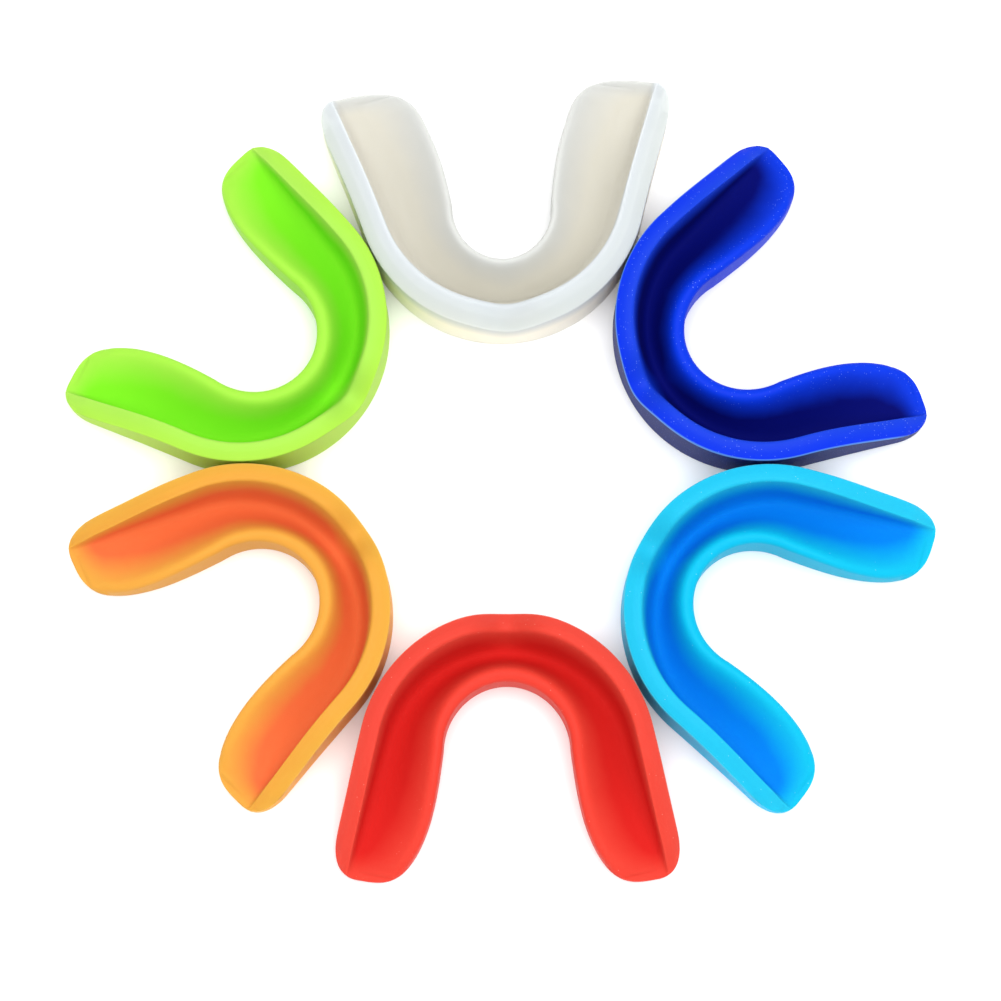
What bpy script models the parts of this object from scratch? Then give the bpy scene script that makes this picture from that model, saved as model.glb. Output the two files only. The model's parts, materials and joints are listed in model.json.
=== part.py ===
"""Six U-shaped boil-and-bite mouthguards, laid in a ring with their channels up.

Each guard is one solid moulding. Its section is swept along an arch: a front bend, and a
straight leg on each side that splays out a little. The section has a tall labial wall on the
outside, a bite channel, and a lingual wall on the inside. Both walls run down along the legs,
and the channel stays open to the tips. The guards lie on the plane z = 0 with their bends
towards the middle of the ring, and their legs pointing out of it. Every guard is a piece of
its own, and lifts straight up out of the ring.
"""

import math
from dataclasses import dataclass, replace

import bmesh
import bpy
from mathutils import Vector

MM = 0.001
ROUGHNESS = 0.42
SMOOTH_ANGLE = math.radians(35)

# How finely the arch is divided, on each side of its middle.
BEND_STEPS = 10
LEG_STEP = 6.0  # mm, at most, on the part of the leg before its tip starts to round off
TIP_STEPS = 9

# Details of the section that every guard shares, in mm.
FOOT_CHAMFER = 0.8  # between the flat underside and the walls
RIM_CHAMFER = 0.3  # along both edges of the rim
RIM_CROWN = 1.0  # how much higher the rim's inner edge is than its outer edge
NARROWEST_FLOOR = 0.8  # the least width left between the channel's two slopes
FRENUM_REACH = 4.0  # along the arch, over which the notch in the rim dies away
SLANT_REACH = 14.0  # along the leg, over which its sections turn to the slant of its end
TIP_REACH = 6.0  # along the leg, over which both walls run down to the tip
TIP_WALL = 0.45  # the share of their height above the floor that they keep there
TIP_EDGE = 0.8  # rounding of the top edge, at the very tip
TIP_END = 0.05  # left off the very tip, where the section would have no width

# The channel's shape, first at the middle of the bend and then on the leg, in mm.
CHANNEL_SLOPE = (1.7, 0.6)  # how far the channel's labial wall runs inwards on its way down
CHANNEL_FOOT = (1.0, 1.2)  # between that wall and the floor
CREST_SHOULDER = (1.4, 0.9)  # how much lower the lingual face starts than the crest

# Heights in the section, as a share of the wall's own height above the floor.
CHANNEL_FOOT_UP = 0.15
CREST_FOOT_UP = 0.12
CREST_MIDDLE_UP = 0.62


@dataclass(frozen=True)
class Mould:
    """The plan and the heights of one guard, in mm and degrees."""

    bend_radius: float = 21.8  # of the arch's centreline
    splay: float = 14.8  # of each leg, away from the guard's own axis
    leg: float = 26.9  # length of the straight part, up to the tip
    slant: float = 0.08  # of the leg's end: how far it reaches on, per mm across
    outer_front: float = 6.3  # centreline to labial face, at the middle of the bend
    outer_rear: float = 5.5  # and on the leg
    inner_front: float = 6.5  # centreline to lingual face, at the middle of the bend
    inner_rear: float = 10.7  # and on the leg
    widening: float = 1.52  # where the rear widths are reached, as a multiple of the bend
    outer_corner: float = 8.5  # length of the tip's rounding, on the labial side
    outer_power: float = 2.9  # 2 is an ellipse, more is squarer
    inner_corner: float = 24.3  # and on the lingual side
    inner_power: float = 3.5
    rim_front: float = 13.7  # height of the rim's outer edge at the front
    rim_rear: float = 4.4  # and at the back of the leg
    crest_front: float = 11.0  # height of the lingual wall at the front
    crest_rear: float = 5.0  # and at the back of the leg
    fall_start: float = 0.55  # where the walls start to fall, as a share of half the arch
    fall_end: float = 1.02
    frenum: float = 5.2  # depth of the notch in the middle of the rim
    floor: float = 3.2  # thickness under the channel
    rim: float = 3.4  # width of the rim
    crest_in: tuple = (2.1, 1.5)  # from the lingual face to the crest, at the front and behind
    crest_slope: tuple = (2.2, 4.6)  # from the crest down to the floor, at the front and behind

    @property
    def bend(self):
        """Length of the centreline from the middle of the bend to the start of the leg."""
        return self.bend_radius * math.radians(90.0 - self.splay)

    @property
    def half_arch(self):
        """Length of the centreline from the middle of the bend to the tip."""
        return self.bend + self.leg


STANDARD = Mould()
WIDE = replace(
    STANDARD,
    bend_radius=21.4,
    splay=18.8,
    leg=30.0,
    slant=0.17,
    outer_front=7.1,
    outer_rear=5.9,
    inner_front=7.3,
    inner_rear=13.0,
    outer_corner=12.0,
    outer_power=2.7,
    inner_corner=13.5,
    inner_power=3.4,
    rim_front=14.9,
    frenum=2.6,
    rim=4.4,
    crest_in=(1.2, 1.2),
    crest_slope=(3.2, 5.6),
)


@dataclass(frozen=True)
class Seat:
    """One guard, and its place in the ring."""

    name: str
    colour: tuple
    mould: Mould
    radius: float  # mm from the middle of the ring to the middle of the guard's bend
    bearing: float  # degrees, anticlockwise from +X
    turn: float  # degrees, from facing the middle of the ring exactly
    flex: float  # degrees that its soft legs are spread (or pinched) from the mould's splay

    @property
    def shape(self):
        """The mould with this guard's own splay."""
        return replace(self.mould, splay=self.mould.splay + self.flex)


SEATS = (
    Seat("guard_white", (0.80, 0.79, 0.74), WIDE, 54.3, 90.7, 2.7, 0.0),
    Seat("guard_navy", (0.01, 0.03, 0.62), STANDARD, 56.4, 30.1, -1.1, 0.7),
    Seat("guard_sky", (0.01, 0.40, 0.95), STANDARD, 57.1, -29.0, 0.7, 0.1),
    Seat("guard_red", (0.90, 0.03, 0.02), STANDARD, 55.5, -89.4, -0.4, -0.3),
    Seat("guard_orange", (0.95, 0.30, 0.05), STANDARD, 56.1, -150.5, 5.8, 0.5),
    Seat("guard_green", (0.25, 0.90, 0.03), STANDARD, 57.3, 150.5, -6.3, -0.5),
)


def mix(start, end, share):
    return start + (end - start) * share


def ease(share):
    """0 to 1, with no slope at either end."""
    share = min(max(share, 0.0), 1.0)
    return share * share * (3.0 - 2.0 * share)


def rounding(to_tip, length, power=2.0):
    """1 along the leg, falling to 0 at its tip as a quarter of an ellipse or superellipse."""
    left = max(1.0 - to_tip / length, 0.0)
    return (1.0 - left**power) ** (1.0 / power)


def arch_frame(mould, along):
    """The centreline's point and its section's outward step, at a distance along the arch."""
    turned = min(abs(along), mould.bend) / mould.bend_radius
    straight = max(abs(along) - mould.bend, 0.0)
    outwards = Vector((math.sin(turned), math.cos(turned), 0.0))
    onwards = Vector((math.cos(turned), -math.sin(turned), 0.0))
    point = outwards * mould.bend_radius + onwards * straight
    outwards += onwards * mould.slant * ease(1.0 - (mould.half_arch - abs(along)) / SLANT_REACH)
    if along < 0.0:
        point.x = -point.x
        outwards.x = -outwards.x
    return point, outwards


def section(mould, along):
    """The cross-section at a distance along the arch, as (across, up) pairs in mm.

    Across is positive towards the labial side. The points start at the inner foot, and run
    under the guard, up the labial wall, over the rim, through the channel and over the crest.
    """
    run = abs(along)
    to_tip = mould.half_arch - run
    widened = ease(run / (mould.widening * mould.bend))
    outer = mix(mould.outer_front, mould.outer_rear, widened)
    outer *= rounding(to_tip, mould.outer_corner, mould.outer_power)
    inner = mix(mould.inner_front, mould.inner_rear, widened)
    inner *= rounding(to_tip, mould.inner_corner, mould.inner_power)

    fallen = (run / mould.half_arch - mould.fall_start) / (mould.fall_end - mould.fall_start)
    fallen = ease(fallen)
    standing = mix(TIP_WALL, 1.0, ease(to_tip / TIP_REACH))
    rim_wall = mix(mould.rim_front, mould.rim_rear, fallen) - mould.floor
    rim_wall -= mould.frenum * math.exp(-((run / FRENUM_REACH) ** 2))
    crest_wall = mix(mould.crest_front, mould.crest_rear, fallen) - mould.floor
    floor = mould.floor - TIP_EDGE * (1.0 - rounding(to_tip, TIP_EDGE))
    rim_top = floor + rim_wall * standing
    crest_top = floor + crest_wall * standing

    # Near the tip the details shrink together, so that they still fit between the two faces.
    channel_slope = mix(*CHANNEL_SLOPE, widened)
    channel_foot = mix(*CHANNEL_FOOT, widened)
    crest_slope = mix(*mould.crest_slope, widened)
    crest_in = mix(*mould.crest_in, widened)
    full = mould.rim + channel_slope + channel_foot + NARROWEST_FLOOR + crest_slope + crest_in
    size = min((outer + inner) / full, 1.0)
    crowned = rim_top + RIM_CROWN * standing
    chamfer = RIM_CHAMFER * size
    edge = outer - mould.rim * size
    foot = edge - channel_slope * size
    crest = -inner + crest_in * size
    return (
        (-inner, FOOT_CHAMFER * size),
        (-inner + FOOT_CHAMFER * size, 0.0),
        (outer - FOOT_CHAMFER * size, 0.0),
        (outer, FOOT_CHAMFER * size),
        (outer, rim_top - chamfer),
        (outer - chamfer, rim_top),
        (edge + chamfer, crowned),
        (edge, crowned - chamfer),
        (foot, mix(floor, rim_top, CHANNEL_FOOT_UP)),
        (foot - channel_foot * size, floor),
        (crest + crest_slope * size, mix(floor, crest_top, CREST_FOOT_UP)),
        (crest + 0.5 * crest_slope * size, mix(floor, crest_top, CREST_MIDDLE_UP)),
        (crest, crest_top),
        (-inner, crest_top - mix(*CREST_SHOULDER, widened) * size),
    )


def stations(mould):
    """Distances along the arch where it has a section, from one tip to the other."""
    corner = max(mould.outer_corner, mould.inner_corner)
    straight = mould.leg - corner
    leg_steps = math.ceil(straight / LEG_STEP)
    half = [mould.bend * step / BEND_STEPS for step in range(BEND_STEPS + 1)]
    half += [mould.bend + straight * step / leg_steps for step in range(1, leg_steps + 1)]
    for step in range(1, TIP_STEPS + 1):
        quarter = 0.5 * math.pi * step / TIP_STEPS
        half.append(mould.half_arch - corner * (1.0 - math.sin(quarter)))
    half[-1] -= TIP_END
    return [-along for along in reversed(half[1:])] + half


def guard_mesh(name, mould):
    """Sweeps the section along the arch, and closes it at both tips."""
    mesh = bmesh.new()
    rings = []
    for along in stations(mould):
        point, outwards = arch_frame(mould, along)
        ring = []
        for across, up in section(mould, along):
            corner = point + outwards * across + Vector((0.0, 0.0, up))
            ring.append(mesh.verts.new(corner * MM))
        rings.append(ring)
    for ring, following in zip(rings, rings[1:]):
        for i, vertex in enumerate(ring):
            j = (i + 1) % len(ring)
            mesh.faces.new((vertex, ring[j], following[j], following[i]))
    mesh.faces.new(rings[0])
    mesh.faces.new(rings[-1])
    bmesh.ops.recalc_face_normals(mesh, faces=mesh.faces)
    data = bpy.data.meshes.new(name)
    mesh.to_mesh(data)
    mesh.free()
    data.shade_smooth()
    data.set_sharp_from_angle(angle=SMOOTH_ANGLE)
    return data


def eva(name, colour):
    """Soft moulded EVA: an even colour with a low sheen."""
    material = bpy.data.materials.new(name)
    material.use_nodes = True
    shader = material.node_tree.nodes["Principled BSDF"]
    shader.inputs["Base Color"].default_value = (*colour, 1.0)
    shader.inputs["Roughness"].default_value = ROUGHNESS
    shader.inputs["Metallic"].default_value = 0.0
    return material


def place(seat, ring):
    """Makes one guard, and sets it in its seat with its bend towards the middle of the ring."""
    guard = bpy.data.objects.new(seat.name, guard_mesh(seat.name, seat.shape))
    guard.data.materials.append(eva("eva_" + seat.name, seat.colour))
    bpy.context.scene.collection.objects.link(guard)
    bearing = math.radians(seat.bearing)
    # The guard's own +Y is the way that its bend faces, so a quarter turn more faces it inwards.
    guard.rotation_euler.z = bearing + math.radians(90.0 + seat.turn)
    guard.location = Vector((math.cos(bearing), math.sin(bearing), 0.0)) * seat.radius * MM
    guard.parent = ring
    return guard


def centre(ring, guards):
    """Moves the ring so that the middle of the whole set's box is over the origin."""
    bpy.context.view_layer.update()
    corners = [guard.matrix_world @ v.co for guard in guards for v in guard.data.vertices]
    for axis in (0, 1):
        values = [corner[axis] for corner in corners]
        ring.location[axis] = -0.5 * (min(values) + max(values))


def main():
    for leftover in list(bpy.data.objects):
        bpy.data.objects.remove(leftover)
    ring = bpy.data.objects.new("ring", None)
    bpy.context.scene.collection.objects.link(ring)
    guards = [place(seat, ring) for seat in SEATS]
    centre(ring, guards)


main()
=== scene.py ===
"""The look of a ring of six moulded EVA mouthguards: a fine mesh and a material for each one.

Each guard is the CAD guard made again with rounded edges, a crowned rim, a smooth bite channel
and open leg tips, so it replaces its CAD node and rides on its body. A guard's lengths are in
millimetres until they reach its mesh.
"""

import json
import math

import bpy
import numpy as np
from mathutils import Euler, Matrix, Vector


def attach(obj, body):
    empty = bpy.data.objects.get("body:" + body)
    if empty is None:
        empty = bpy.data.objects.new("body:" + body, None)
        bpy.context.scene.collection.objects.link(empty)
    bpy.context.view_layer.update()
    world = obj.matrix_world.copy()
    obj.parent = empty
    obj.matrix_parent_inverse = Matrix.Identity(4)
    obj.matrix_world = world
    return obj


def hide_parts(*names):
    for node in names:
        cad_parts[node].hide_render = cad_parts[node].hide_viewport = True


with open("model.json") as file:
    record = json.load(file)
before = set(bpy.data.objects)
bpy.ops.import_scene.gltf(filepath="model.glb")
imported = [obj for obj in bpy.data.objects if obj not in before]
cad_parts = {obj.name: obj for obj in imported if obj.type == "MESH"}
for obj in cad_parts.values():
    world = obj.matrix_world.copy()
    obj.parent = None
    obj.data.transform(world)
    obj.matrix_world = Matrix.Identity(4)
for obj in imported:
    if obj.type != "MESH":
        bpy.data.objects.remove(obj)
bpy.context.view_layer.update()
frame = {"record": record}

MM = 0.001

# ---------------------------------------------------------------- the moulds: the CAD ones, softened
# The centreline is an arc with a straight leg at each end. Lengths are in mm. What has a front and
# a rear value goes from the first, at the middle of the bend, to the second, on the leg, and so
# does a pair in brackets.
STANDARD = dict(
    bend_radius=21.8, leg=26.9,
    splay=14.8,  # degrees by which each leg leaves the middle line
    slant=0.08,  # how far the leg's end reaches on along the leg, for each mm outwards
    widening=1.52,  # the widths change over this many lengths of half the bend
    outer_front=6.3, outer_rear=5.5,  # from the centreline to the labial side
    inner_front=6.5, inner_rear=10.7,  # and to the lingual side
    outer_corner=8.0, outer_power=2.3,  # the rounding of the leg's end on the labial side
    inner_corner=24.3, inner_power=3.5,  # and on the lingual side
    rim_front=13.7, rim_rear=4.4,  # height of the rim's outer edge
    crest_front=11.0, crest_rear=5.0,  # height of the lingual wall
    fall_start=0.55, fall_end=1.02,  # the shares of the half arch between which both run down
    frenum=5.2,  # depth of the notch in the rim
    floor=3.2,  # thickness under the channel
    rim=(3.4, 3.4),  # width of the rim
    crown=1.0,  # how far its inner edge stands above its outer edge
    crest_in=(2.6, 1.4),  # from the lingual side to the lingual wall's highest line
    crest_run=(2.2, 7.6),  # from that line to the foot of the wall's slope in the channel
    crest_shoulder=(0.7, 0.5),  # how far the wall's lingual edge lies under that line
)
WIDE = dict(
    STANDARD, bend_radius=21.4, leg=30.0, splay=18.8, slant=0.17,
    outer_front=7.1, outer_rear=5.9, inner_front=7.3, inner_rear=13.0,
    outer_corner=12.0, outer_power=2.7, inner_corner=13.5, inner_power=3.4,
    rim_front=13.5, frenum=2.6, rim=(4.8, 4.2), crown=2.4,
    crest_in=(1.2, 1.0), crest_run=(4.8, 9.0), crest_shoulder=(0.4, 0.3),
)
# Each guard's mould, the direction its bend faces (degrees to the left of +Y, seen from above), and
# how far its soft legs are spread or pinched (degrees).
GUARDS = dict(
    white=(WIDE, 183.4, 0.0),
    navy=(STANDARD, 119.0, 0.7),
    sky=(STANDARD, 61.7, 0.1),
    red=(STANDARD, 0.2, -0.3),
    orange=(STANDARD, -54.7, 0.5),
    green=(STANDARD, 234.2, -0.5),
)

# ---------------------------------------------------------------- details of the section, in mm
FOOT = 0.7  # radius between the underside and the walls
RIM_EDGE = 0.6  # radius of the rim's outer edge
RIM_MIDDLE = 3.0  # radius of the bend along the middle of the rim
CROWN_RISE = 0.72  # the share of the crown's height that the rim's middle has
LIP = 0.14  # how far the parting line at the rim's edge stands out from the labial wall
LIP_DEPTH = 0.55  # and how far under the rim it ends
LIP_FACE = 0.8  # the share of that depth over which it stands out in full
LIP_EDGE = 0.1  # radius of its edges
CREST_TOP = 3.0  # radius of the lingual wall's highest line
CREST_EDGE = 1.3  # radius of its lingual edge
CREST_FOOT = 9.0  # radius between its slope and the channel's floor
FRENUM_REACH = 4.0  # along the arch, over which the notch in the rim dies away
NARROWEST_FLOOR = 0.5  # the least width left between the channel's two slopes
# The channel's outer side, first at the middle of the bend and then on the leg.
WALL_RUN = (2.2, 0.5)  # how far the labial wall runs inwards on its way down
WALL_FOOT = (9.0, 1.8)  # radius between that wall and the floor
INNER_EDGE = (1.5, 0.3)  # radius of the rim's inner edge

# ---------------------------------------------------------------- the leg's end, in mm along the leg
SLANT_REACH = 14.0  # over which the sections turn to the slant of the end
TIP_REACH = 6.0  # over which both walls run down
TIP_WALL = 0.25  # the share of their height above the floor that they keep at the tip
TIP_CUT = 4.0  # from the tip, where the lingual side stops narrowing and is cut off instead
TIP_BLEND = 1.4  # the top edge is rounded for this many TIP_CUTs, and that dies away over one more
TIP_EDGE = 0.7  # radius of that edge
TIP_STOP = 0.004  # between the last station and the tip, where the outline has no width

# ---------------------------------------------------------------- how finely it is divided
ARC_STEPS = 6  # points round each rounded corner
LOW_CORNERS = 4  # of the section's corners, those below the rim: the underside's and the lip's
MOST_OF_SIDE = 0.49  # the most of a side between two corners that one corner's rounding takes
STATION_STEP = 0.45  # mm along the arch
TIP_LENGTH = 9.0  # mm of each leg that has its stations closer together
TIP_STEPS = 26  # stations there

# ---------------------------------------------------------------- where the colours lie
# How far under the line from the crest to the brim, the rim's inner edge, the channel's colour,
# which is partly painted shade, is at its deepest: in mm, between the highest walls and between the
# lowest.
FULL_DEPTH = (7.0, 2.6)
# The channel is shallow at the tip, so little of its deep colour and painted shade is left there.
TIP_PALE = 0.35  # the share of the channel's deep colour left at the tip
BAND_PER_MM = 0.1  # how fast the band goes on down the labial wall
EDGE_SLACK = 0.01  # mm past the brim that still count as the channel


def ease(share):
    share = np.clip(share, 0.0, 1.0)
    return share * share * (3.0 - 2.0 * share)


def mix(start, end, share):
    return start + (end - start) * share


def rounding(to_tip, length, power):
    """1 along the leg, falling to 0 over this length at its tip as a quarter of a superellipse."""
    left = np.clip(1.0 - to_tip / length, 0.0, 1.0)
    return (1.0 - left**power) ** (1.0 / power)


def stations(mould):
    """Distances along the arch from the middle of the bend, from one tip to the other."""
    bend = mould["bend_radius"] * math.radians(90.0 - mould["splay"])
    half_arch = bend + mould["leg"]
    even = half_arch - TIP_LENGTH
    half = np.linspace(0.0, even, round(even / STATION_STEP) + 1)
    quarter = 0.5 * math.pi * np.arange(1, TIP_STEPS + 1) / TIP_STEPS
    tip = half_arch - TIP_LENGTH * (1.0 - np.sin(quarter))
    tip[-1] -= TIP_STOP
    half = np.concatenate([half, tip])
    return np.concatenate([-half[:0:-1], half]), bend, half_arch


def arch(mould, along, bend, half_arch):
    """The centreline's points, and the sections' outward steps, at distances along the arch."""
    turned = np.minimum(np.abs(along), bend) / mould["bend_radius"]
    straight = np.maximum(np.abs(along) - bend, 0.0)
    side = np.sign(along)
    out = np.stack([side * np.sin(turned), np.cos(turned)], -1)
    on = np.stack([side * np.cos(turned), -np.sin(turned)], -1)
    line = out * mould["bend_radius"] + on * straight[:, None]
    slant = mould["slant"] * ease(1.0 - (half_arch - np.abs(along)) / SLANT_REACH)
    return line, out + on * slant[:, None]


def corners(mould, along, bend, half_arch):
    """The section's eleven corners at every station, as (across, up, radius), from the lingual foot.

    Also gives the section's main lines by name, and the tip's outline: how far it lets the
    lingual and the labial side reach.
    """
    run = np.abs(along)
    to_tip = half_arch - run
    widened = ease(run / (mould["widening"] * bend))
    outer = mix(mould["outer_front"], mould["outer_rear"], widened)
    inner = mix(mould["inner_front"], mould["inner_rear"], widened)
    outline = (
        inner * rounding(to_tip, mould["inner_corner"], mould["inner_power"]),
        outer * rounding(to_tip, mould["outer_corner"], mould["outer_power"]),
    )
    uncut = np.maximum(to_tip, TIP_CUT)
    inner = inner * rounding(uncut, mould["inner_corner"], mould["inner_power"])
    fall = mould["fall_end"] - mould["fall_start"]
    fallen = ease((run / half_arch - mould["fall_start"]) / fall)
    standing = mix(TIP_WALL, 1.0, ease(to_tip / TIP_REACH))
    base = np.zeros_like(run)
    floor = np.full_like(run, mould["floor"])
    rim_wall = mix(mould["rim_front"], mould["rim_rear"], fallen) - floor
    rim_wall = rim_wall - mould["frenum"] * np.exp(-((run / FRENUM_REACH) ** 2))
    rim_top = floor + rim_wall * standing
    crest = floor + (mix(mould["crest_front"], mould["crest_rear"], fallen) - floor) * standing
    brim = rim_top + mould["crown"] * standing

    wall_run, wall_foot, inner_edge, rim, crest_run, crest_in, shoulder = (
        mix(front, rear, widened)
        for front, rear in (
            WALL_RUN, WALL_FOOT, INNER_EDGE, mould["rim"],
            mould["crest_run"], mould["crest_in"], mould["crest_shoulder"],
        )
    )
    # Where the arch is too narrow for all of these, they shrink together.
    full = rim + wall_run + NARROWEST_FLOOR + crest_run + crest_in
    size = np.minimum((outer + inner) / full, 1.0)
    edge = outer - rim * size
    middle = outer - 0.5 * rim * size
    ridge = -inner + crest_in * size
    section = (
        (-inner, base, FOOT),
        (outer, base, FOOT),
        (outer - LIP * size, rim_top - LIP_DEPTH, LIP_EDGE),
        (outer, rim_top - LIP_FACE * LIP_DEPTH, LIP_EDGE),
        (outer, rim_top, RIM_EDGE),
        (middle, mix(rim_top, brim, CROWN_RISE), RIM_MIDDLE),
        (edge, brim, inner_edge),
        (edge - wall_run * size, floor, wall_foot),
        (ridge + crest_run * size, floor, CREST_FOOT),
        (ridge, crest, CREST_TOP),
        (-inner, crest - shoulder * size, CREST_EDGE),
    )
    lines = dict(
        outer=outer, edge=edge, brim=brim, rim_top=rim_top, ridge=ridge, crest=crest,
        deepest=mix(*FULL_DEPTH, fallen),
    )
    return section, lines, outline


def trimmed(across, up, outline, to_tip):
    """Cuts the sections off at the tip's rounded outline, and rounds the edge of that cut.

    Every point beyond the outline is drawn in to it, at the height that the section has there.
    """
    first_top = LOW_CORNERS * ARC_STEPS
    on_top = np.arange(across.shape[1]) >= first_top
    blunt = 1.0 - ease(to_tip / TIP_CUT - TIP_BLEND)
    across, up = across.copy(), up.copy()
    for i in np.nonzero(blunt)[0]:
        order = np.argsort(across[i, first_top:])
        surface = across[i, first_top:][order], up[i, first_top:][order]
        inner, outer = outline[0][i], outline[1][i]
        across[i] = np.clip(across[i], -inner, outer)
        top = np.interp(across[i], *surface)
        from_edge = np.minimum(np.minimum(outer - across[i], across[i] + inner), to_tip[i])
        inset = np.clip(1.0 - from_edge / TIP_EDGE, 0.0, 1.0)
        drop = blunt[i] * TIP_EDGE * (1.0 - np.sqrt(1.0 - inset**2))
        up[i] = np.where(on_top, top - drop, np.minimum(up[i], top - blunt[i] * TIP_EDGE))
    return across, up


def rounded(section):
    """The sections' outlines with each corner rounded, from corners as (across, up, radius)."""
    place = [np.stack([across, up], -1) for across, up, _ in section]
    ring = []
    for i, (_, _, radius) in enumerate(section):
        here, before, after = place[i], place[i - 1], place[(i + 1) % len(place)]
        back, ahead = before - here, after - here
        back_len = np.linalg.norm(back, axis=-1) + 1e-9
        ahead_len = np.linalg.norm(ahead, axis=-1) + 1e-9
        back, ahead = back / back_len[:, None], ahead / ahead_len[:, None]
        half_turn = 0.5 * (math.pi - np.arccos(np.clip((back * ahead).sum(-1), -1.0, 1.0)))
        reach = radius * np.tan(half_turn)
        start = here + back * np.minimum(reach, MOST_OF_SIDE * back_len)[:, None]
        end = here + ahead * np.minimum(reach, MOST_OF_SIDE * ahead_len)[:, None]
        for t in np.linspace(0.0, 1.0, ARC_STEPS):
            ring.append((1 - t) ** 2 * start + 2 * t * (1 - t) * here + t**2 * end)
    return np.stack(ring, 1)


def zones(across, up, lines):
    """Where each point lies in the section, as two numbers.

    Depth is 0 on the rim and the crest and 1 deep in the channel, and sets how far the channel's
    colour deepens there, partly as painted shade. Band runs from 0 at the rim's inner edge to 1 at
    its outer edge, goes on slowly down the labial wall, and is negative on the channel and the
    lingual side; it places the rim's painted light, the painted highlight on the parting line and
    the labial wall's painted light and shade.
    """
    outer, edge, brim, rim_top, ridge, crest, deepest = (
        lines[key][:, None]
        for key in ("outer", "edge", "brim", "rim_top", "ridge", "crest", "deepest")
    )
    share = np.clip((across - ridge) / (edge - ridge), 0.0, 1.0)
    inside = (across > ridge) & (across < edge + EDGE_SLACK)
    shade_depth = np.where(inside, np.clip((mix(crest, brim, share) - up) / deepest, 0.0, 1.0), 0.0)
    band = (across - edge) / (outer - edge)
    wall = (across > 0.5 * (edge + outer)) & (up < rim_top - RIM_EDGE)
    band = np.where(wall, 1.0 + (rim_top - up) * BAND_PER_MM, np.clip(band, -1.0, 1.0))
    return shade_depth, band


def guard_mesh(name, mould, centre, heading):
    """One guard's mesh in the frame of the whole set, with its depth and band at each point, which
    place its painted shade and light.
    """
    along, bend, half_arch = stations(mould)
    line, out = arch(mould, along, bend, half_arch)
    section, lines, outline = corners(mould, along, bend, half_arch)
    ring = rounded(section)
    across, up = ring[..., 0], ring[..., 1]
    to_tip = half_arch - np.abs(along)
    shade_depth, band = zones(across, up, lines)
    shade_depth = shade_depth * mix(TIP_PALE, 1.0, ease(to_tip / TIP_CUT))[:, None]
    across, up = trimmed(across, up, outline, to_tip)
    count, size = across.shape

    flat = line[:, None, :] + out[:, None, :] * across[..., None]
    cos, sin = math.cos(heading), math.sin(heading)
    x = flat[..., 0] * cos - flat[..., 1] * sin + centre.x / MM
    y = flat[..., 0] * sin + flat[..., 1] * cos + centre.y / MM
    points = np.stack([x, y, up], -1).reshape(-1, 3) * MM

    grid = np.arange(count * size).reshape(count, size)
    a, b = grid[:-1], grid[1:]
    quads = np.stack([a, np.roll(a, -1, 1), np.roll(b, -1, 1), b], -1).reshape(-1, 4)
    faces = [tuple(q) for q in quads.tolist()]
    faces.append(tuple(grid[0][::-1].tolist()))
    faces.append(tuple(grid[-1].tolist()))
    mesh = bpy.data.meshes.new(name)
    mesh.from_pydata([tuple(p) for p in points.tolist()], [], faces)
    mesh.validate()
    for key, values in (("shade_depth", shade_depth), ("band", band)):
        layer = mesh.attributes.new(key, "FLOAT", "POINT")
        layer.data.foreach_set("value", values.reshape(-1).astype(np.float32))
    mesh.shade_smooth()
    return mesh


# ---------------------------------------------------------------- EVA
# Where one colour gives way to the next, by band: the rim's flat top and rounded edge, the painted
# highlight on the parting line, the labial wall's painted light and shade, and the crest. A
# material's fade is added to the wall's end.
RIM_TO_EDGE = (0.1, 0.9)
EDGE_TO_LIP_HIGHLIGHT = (0.93, 0.99)
LIP_HIGHLIGHT_TO_WALL_SHADING = (1.03, 1.07)
RIM_TO_CREST = (-0.02, -0.25)
# And by depth, along which the channel's colour and its painted shade come in.
RIM_TO_SHADED_CHANNEL = (0.04, 0.96)
CLEAN_TO_DUSTY = (0.5, 0.0)
# Faint clouds in the channel's colour, a fine grain all over, and dust. Scales are per metre.
CLOUD_SCALE, CLOUD_DETAIL = 160.0, 3.0
CLOUD_SPAN = (0.3, 0.7)  # of the noise
CLOUD_SHIFT = 0.06  # of depth, either way
GRAIN_SCALE, GRAIN_DETAIL = 5200.0, 2.0
GRAIN_BUMP = 0.35  # strength
GRAIN_HEIGHT = 0.00004  # m
SPECK_SCALE = 2400.0
SPECK_RADIUS = 0.24  # of a cell
SPECK_CORE = 0.3  # the share of that radius that is fully dusty
ROUGHNESS = (0.4, 0.6)  # from the grain's lows to its highs
CHANNEL_ROUGHNESS = 0.3  # more than that in the channel
CHANNEL_ROUGH_FROM = 0.5  # the depth at which it is that much more
# The subsurface scale is in metres.
SURFACE = {
    "Metallic": 0.0, "IOR": 1.48, "Specular IOR Level": 0.06,
    "Subsurface Scale": 0.003, "Subsurface Radius": (1.0, 1.0, 1.0),
}


def linear(rgb):
    """Linear colour of an sRGB one given as 0 to 255, by the standard's own curve."""
    return tuple(
        c / 255 / 12.92 if c <= 10 else ((c / 255 + 0.055) / 1.055) ** 2.4 for c in rgb
    ) + (1.0,)


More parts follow.
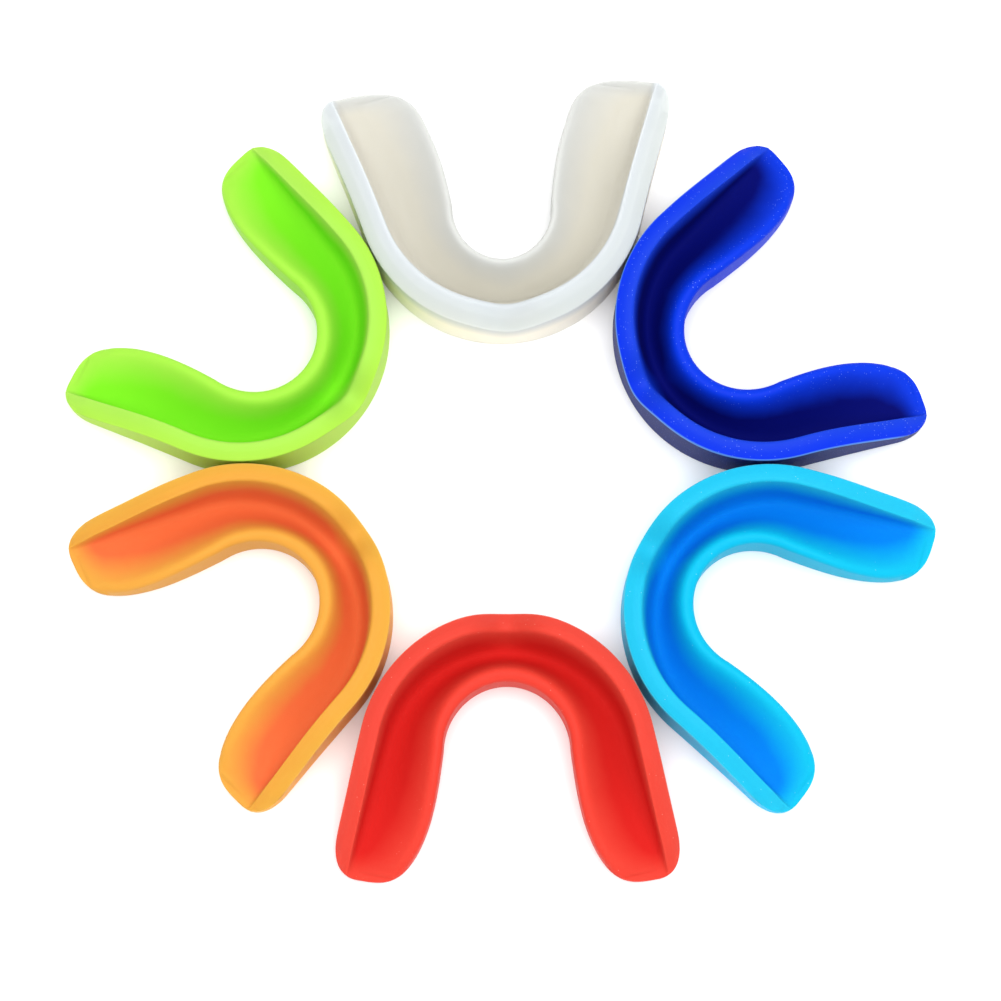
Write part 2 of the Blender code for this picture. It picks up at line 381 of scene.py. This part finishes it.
class Shader:
    """A material's nodes, made and joined one at a time."""

    def __init__(self, name):
        self.material = bpy.data.materials.new(name)
        self.material.use_nodes = True
        self.tree = self.material.node_tree
        self.principled = self.tree.nodes["Principled BSDF"]
        self.place = self.tree.nodes.new("ShaderNodeTexCoord").outputs["Object"]

    def put(self, value, socket):
        """Sets a socket to a plain value, or links another node's output to it."""
        if isinstance(value, bpy.types.NodeSocket):
            self.tree.links.new(value, socket)
        else:
            socket.default_value = value

    def surface(self, values):
        """Sets the surface's uniform values, by the names of its sockets."""
        for key, value in values.items():
            self.principled.inputs[key].default_value = value

    def attribute(self, name):
        node = self.tree.nodes.new("ShaderNodeAttribute")
        node.attribute_name = name
        return node.outputs["Fac"]

    def maths(self, operation, first, second):
        node = self.tree.nodes.new("ShaderNodeMath")
        node.operation = operation
        self.put(first, node.inputs[0])
        self.put(second, node.inputs[1])
        return node.outputs[0]

    def remap(self, value, start, end, low=0.0, high=1.0):
        """Value's span from start to end, stretched to low to high and clamped."""
        node = self.tree.nodes.new("ShaderNodeMapRange")
        spans = {"From Min": start, "From Max": end, "To Min": low, "To Max": high}
        for key, number in spans.items():
            node.inputs[key].default_value = number
        self.put(value, node.inputs["Value"])
        return node.outputs["Result"]

    def blend(self, share, first, second):
        node = self.tree.nodes.new("ShaderNodeMix")
        node.data_type = "RGBA"
        self.put(share, node.inputs["Factor"])
        self.put(first, node.inputs["A"])
        self.put(second, node.inputs["B"])
        return node.outputs["Result"]

    def noise(self, scale, detail):
        node = self.tree.nodes.new("ShaderNodeTexNoise")
        node.inputs["Scale"].default_value = scale
        node.inputs["Detail"].default_value = detail
        self.put(self.place, node.inputs["Vector"])
        return node.outputs["Fac"]

    def specks(self, scale, radius, share):
        """1 in small round spots of a cell pattern, in this share of its cells."""
        node = self.tree.nodes.new("ShaderNodeTexVoronoi")
        node.inputs["Scale"].default_value = scale
        self.put(self.place, node.inputs["Vector"])
        split = self.tree.nodes.new("ShaderNodeSeparateColor")
        self.put(node.outputs["Color"], split.inputs["Color"])
        chosen = self.maths("LESS_THAN", split.outputs["Red"], share)
        spot = self.remap(node.outputs["Distance"], radius, SPECK_CORE * radius)
        return self.maths("MULTIPLY", spot, chosen)


def eva(name, rim, edge, wall, crest, shaded_channel, lip_highlight=None, fade=0.0, milk=0.1, dust=0.0, fleck=None):
    """Moulded EVA: its colour deepens in the channel, partly as painted shade; painted light on the
    rim and the labial wall and a painted highlight on the parting line; a fine grain, faint clouds
    and some dust.
    """
    shader = Shader(name)
    shade_depth = shader.attribute("shade_depth")
    band = shader.attribute("band")
    cloud = shader.noise(CLOUD_SCALE, CLOUD_DETAIL)

    # The rim's colour shifts from its flat top to its rounded outer edge as painted light, with a
    # painted sheen in the top's colour.
    colour = shader.blend(shader.remap(band, *RIM_TO_EDGE), linear(rim), linear(edge))
    # The parting line's colour is a painted highlight along the rim's outer edge.
    if lip_highlight:
        colour = shader.blend(shader.remap(band, *EDGE_TO_LIP_HIGHLIGHT), colour, linear(lip_highlight))
    # The labial wall's colour is painted light and shade: darker than the rim on navy and red,
    # lighter on the others, for the light the outer wall gets.
    wall_start, wall_end = LIP_HIGHLIGHT_TO_WALL_SHADING
    wall_shading_share = shader.remap(band, wall_start, wall_end + fade)
    colour = shader.blend(wall_shading_share, colour, linear(wall))
    colour = shader.blend(shader.remap(band, *RIM_TO_CREST), colour, linear(crest))
    shift = shader.remap(cloud, *CLOUD_SPAN, -CLOUD_SHIFT, CLOUD_SHIFT)
    clouded = shader.maths("ADD", shade_depth, shift)
    # The channel's colour: partly painted shade in the hollow, partly the translucent EVA's deeper
    # tone there.
    colour = shader.blend(shader.remap(clouded, *RIM_TO_SHADED_CHANNEL), colour, linear(shaded_channel))
    if dust:
        shallow = shader.remap(shade_depth, *CLEAN_TO_DUSTY)
        specks = shader.specks(SPECK_SCALE, SPECK_RADIUS, dust)
        dusty = shader.maths("MULTIPLY", specks, shallow)
        colour = shader.blend(dusty, colour, linear(fleck))
    shader.put(colour, shader.principled.inputs["Base Color"])

    grain = shader.noise(GRAIN_SCALE, GRAIN_DETAIL)
    grainy = shader.remap(grain, 0.0, 1.0, *ROUGHNESS)
    in_channel = shader.remap(shade_depth, 0.0, CHANNEL_ROUGH_FROM, 0.0, CHANNEL_ROUGHNESS)
    rough = shader.maths("ADD", grainy, in_channel)
    shader.put(rough, shader.principled.inputs["Roughness"])
    bump = shader.tree.nodes.new("ShaderNodeBump")
    bump.inputs["Strength"].default_value = GRAIN_BUMP
    bump.inputs["Distance"].default_value = GRAIN_HEIGHT
    shader.put(grain, bump.inputs["Height"])
    shader.put(bump.outputs["Normal"], shader.principled.inputs["Normal"])
    shader.surface(SURFACE)
    shader.surface({"Subsurface Weight": milk})
    return shader.material


# Colours are sRGB, from 0 to 255. Rim and edge are the rim's flat top and rounded outer edge,
# painted light, with a painted sheen in the top's colour; lip is a painted highlight along the
# parting line; wall is painted light and shade on the labial wall; channel is partly painted shade
# in the hollow and partly the EVA's deeper tone; and fleck is the dust's. Fade is how much more of
# the band the rim's edge takes to turn into the wall's colour, milk how far light soaks in, and dust
# the share of the speck pattern's cells that hold a speck.
MATERIALS = dict(
    white=dict(
        rim=(184, 189, 192), edge=(192, 197, 194), wall=(240, 234, 216), crest=(182, 183, 180),
        shaded_channel=(197, 194, 183), fade=0.5, milk=1.0,
    ),
    navy=dict(
        rim=(20, 56, 187), edge=(5, 44, 199), wall=(20, 32, 104), crest=(5, 48, 193),
        shaded_channel=(1, 6, 94), lip_highlight=(89, 137, 209), dust=0.25, fleck=(104, 134, 208),
    ),
    sky=dict(
        rim=(29, 165, 197), edge=(27, 169, 203), wall=(40, 184, 234), crest=(8, 165, 199),
        shaded_channel=(0, 119, 207), lip_highlight=(62, 178, 208), milk=0.3, dust=0.03,
        fleck=(140, 214, 232),
    ),
    red=dict(
        rim=(199, 61, 48), edge=(199, 64, 52), wall=(196, 40, 34), crest=(202, 58, 45),
        shaded_channel=(194, 32, 28), lip_highlight=(205, 88, 72), milk=0.35, dust=0.03,
        fleck=(224, 140, 128),
    ),
    orange=dict(
        rim=(199, 141, 55), edge=(202, 149, 57), wall=(230, 164, 66), crest=(203, 144, 58),
        shaded_channel=(212, 103, 58), lip_highlight=(210, 160, 78), milk=0.3,
    ),
    green=dict(
        rim=(148, 197, 75), edge=(153, 203, 66), wall=(166, 212, 72), crest=(144, 201, 63),
        shaded_channel=(116, 206, 32), milk=0.3,
    ),
)


def make_guard(colour):
    """Builds one guard where its CAD node stands, and lets it ride on that body."""
    mould, heading, flex = GUARDS[colour]
    mould = dict(mould, splay=mould["splay"] + flex)
    heading = math.radians(heading)
    rest = next(m for m in frame["record"]["mounts"] if m["name"] == f"rest_{colour}")
    facing = Vector((-math.sin(heading), math.cos(heading), 0.0))
    centre = Vector(rest["pos_m"]) - facing * mould["bend_radius"] * MM
    mesh = guard_mesh(f"{colour}_guard", mould, centre, heading)
    mesh.materials.append(eva(f"eva_{colour}", **MATERIALS[colour]))
    guard = bpy.data.objects.new(f"{colour}_guard", mesh)
    bpy.context.scene.collection.objects.link(guard)
    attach(guard, colour)
    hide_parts(f"guard_{colour}")


# ---------------------------------------------------------------- floor, light and camera, in metres
FLOOR_HALF = 1.5
FLOOR_DROP = 0.00002  # so that the floor and the guards' undersides are never one plane
FLOOR_GREY = (0.93, 0.93, 0.93, 1.0)
FLOOR_SURFACE = {"Base Color": FLOOR_GREY, "Roughness": 0.9, "Specular IOR Level": 0.1}
WORLD_WHITE = (1.0, 1.0, 1.0, 1.0)
WORLD_STRENGTH = 0.85
OVERHEAD = dict(place=(0.08, -0.04, 0.97), size=1.0, power=10.8)  # watts
CAMERA_DISTANCE = 0.5355
CAMERA_TILT = 9.95  # degrees from straight down
CAMERA_AIM = (0.00037, -0.00519, 0.0)
VIEW_WIDTH = 0.1903  # across the picture, at the point it aims at
SENSOR = 36.0  # mm


def make_floor():
    """A wide pale sheet under the guards."""
    half = FLOOR_HALF
    square = [(-half, -half, 0), (half, -half, 0), (half, half, 0), (-half, half, 0)]
    mesh = bpy.data.meshes.new("floor")
    mesh.from_pydata(square, [], [(0, 1, 2, 3)])
    shader = Shader("floor")
    shader.surface(FLOOR_SURFACE)
    mesh.materials.append(shader.material)
    plane = bpy.data.objects.new("floor", mesh)
    bpy.context.scene.collection.objects.link(plane)
    plane.location.z = -FLOOR_DROP


def softbox(name, place, size, power):
    """A round lamp at this place, facing the middle of the ring."""
    data = bpy.data.lights.new(name, "AREA")
    data.shape = "DISK"
    data.size = size
    data.energy = power
    lamp = bpy.data.objects.new(name, data)
    lamp.location = place
    lamp.rotation_euler = (-Vector(place)).to_track_quat("-Z", "Y").to_euler()
    bpy.context.scene.collection.objects.link(lamp)


def make_light():
    """An even white room with one big lamp above."""
    world = bpy.data.worlds.new("studio")
    world.use_nodes = True
    background = world.node_tree.nodes["Background"]
    background.inputs["Color"].default_value = WORLD_WHITE
    background.inputs["Strength"].default_value = WORLD_STRENGTH
    bpy.context.scene.world = world
    softbox("overhead", **OVERHEAD)


def make_camera():
    """Almost straight above the ring, tipped a little towards the red guard."""
    tilt = math.radians(CAMERA_TILT)
    back = Vector((0.0, -math.sin(tilt), math.cos(tilt)))
    data = bpy.data.cameras.new("camera")
    data.sensor_width = SENSOR
    data.lens = SENSOR * CAMERA_DISTANCE / VIEW_WIDTH
    view = bpy.data.objects.new("camera", data)
    view.location = Vector(CAMERA_AIM) + CAMERA_DISTANCE * back
    view.rotation_euler = Euler((tilt, 0.0, 0.0))
    bpy.context.scene.collection.objects.link(view)
    bpy.context.scene.camera = view


# ---------------------------------------------------------------- the scene
for colour in GUARDS:
    make_guard(colour)
make_floor()
make_light()
make_camera()
bpy.context.scene.view_settings.view_transform = "Standard"
